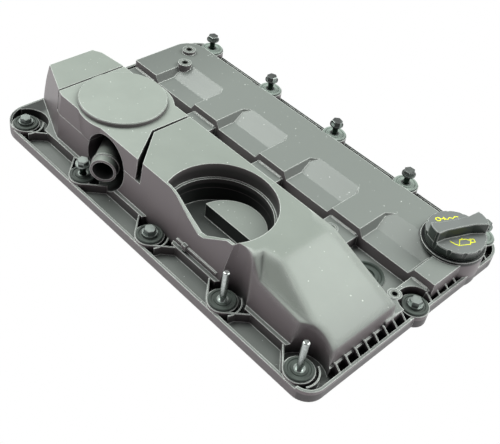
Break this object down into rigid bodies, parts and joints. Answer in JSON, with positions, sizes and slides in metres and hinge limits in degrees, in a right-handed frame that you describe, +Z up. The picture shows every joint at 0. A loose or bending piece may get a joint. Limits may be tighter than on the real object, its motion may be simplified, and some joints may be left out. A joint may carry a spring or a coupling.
{
  "type": "engine valve cover",
  "caption": "Moulded valve cover for an in-line engine: stepped hump with oil separator, vent valve and breather pipe, injector bays, captive bolts, gasket and screwed filler cap.",
  "frame": {"origin": "middle of the cover's length on the near bolt row, in the gasket plane", "axes": "+X along the engine towards the filler cap, +Y from the near bolt row to the far one, +Z up and away from the cylinder head"},
  "size_m": [0.4358, 0.2768, 0.0783],
  "materials": {
    "cover_plastic": "satin moulded",
    "lid_plastic": "satin moulded",
    "cap_plastic": "satin moulded",
    "seal_rubber": "matt",
    "zinc_steel": "bright zinc plate",
    "insert_brass": "turned"
  },
  "bodies": {
    "cover": {"cover_shell": "cover_plastic", "separator_cover": "lid_plastic", "vent_cap": "lid_plastic", "vent_diaphragm": "seal_rubber", "vent_spring": "zinc_steel", "breather_pipe": "cover_plastic", "oil_baffle": "cover_plastic", "baffle_screws": "zinc_steel", "cover_gasket": "seal_rubber", "bolt_grommets": "seal_rubber", "bolt_sleeves": "zinc_steel", "near_stud_1": "zinc_steel", "near_stud_2": "zinc_steel", "thread_inserts": "insert_brass", "trough_plug": "seal_rubber"},
    "near_bolt_1": {"near_bolt_1": "zinc_steel"},
    "near_bolt_2": {"near_bolt_2": "zinc_steel"},
    "near_bolt_3": {"near_bolt_3": "zinc_steel"},
    "far_bolt_1": {"far_bolt_1": "zinc_steel"},
    "far_bolt_2": {"far_bolt_2": "zinc_steel"},
    "far_bolt_3": {"far_bolt_3": "zinc_steel"},
    "far_bolt_4": {"far_bolt_4": "zinc_steel"},
    "far_bolt_5": {"far_bolt_5": "zinc_steel"},
    "end_bolt": {"end_bolt": "zinc_steel"},
    "filler_seal": {"filler_seal": "seal_rubber"},
    "filler_cap": {"filler_cap": "cap_plastic"}
  },
  "joints": [
    {"name": "near_bolt_1_slide", "type": "slide", "parent": "cover", "child": "near_bolt_1", "axis": [0, 0, 1], "range_m": [0, 0.0105]},
    {"name": "near_bolt_2_slide", "type": "slide", "parent": "cover", "child": "near_bolt_2", "axis": [0, 0, 1], "range_m": [-0.0105, 0]},
    {"name": "near_bolt_3_slide", "type": "slide", "parent": "cover", "child": "near_bolt_3", "axis": [0, 0, 1], "range_m": [0, 0.0105]},
    {"name": "far_bolt_1_slide", "type": "slide", "parent": "cover", "child": "far_bolt_1", "axis": [0, 0, 1], "range_m": [-0.0105, 0]},
    {"name": "far_bolt_2_slide", "type": "slide", "parent": "cover", "child": "far_bolt_2", "axis": [0, 0, 1], "range_m": [-0.0105, 0]},
    {"name": "far_bolt_3_slide", "type": "slide", "parent": "cover", "child": "far_bolt_3", "axis": [0, 0, 1], "range_m": [-0.0105, 0]},
    {"name": "far_bolt_4_slide", "type": "slide", "parent": "cover", "child": "far_bolt_4", "axis": [0, 0, 1], "range_m": [-0.0105, 0]},
    {"name": "far_bolt_5_slide", "type": "slide", "parent": "cover", "child": "far_bolt_5", "axis": [0, 0, 1], "range_m": [-0.0105, 0]},
    {"name": "end_bolt_slide", "type": "slide", "parent": "cover", "child": "end_bolt", "axis": [0, 0, 1], "range_m": [0, 0.0105]},
    {"name": "filler_lift", "type": "slide", "parent": "cover", "child": "filler_seal", "axis": [0, 0, 1], "range_m": [0, 0.015]},
    {"name": "filler_turn", "type": "hinge", "parent": "filler_seal", "child": "filler_cap", "pos_m": [0.1865, 0.204, 0.031], "axis": [0, 0, 1], "range_deg": [0, 901]}
  ],
  "couplings": [
    {"joint": "filler_turn", "follows": "filler_lift", "rad_per_m": 1047.2}
  ]
}
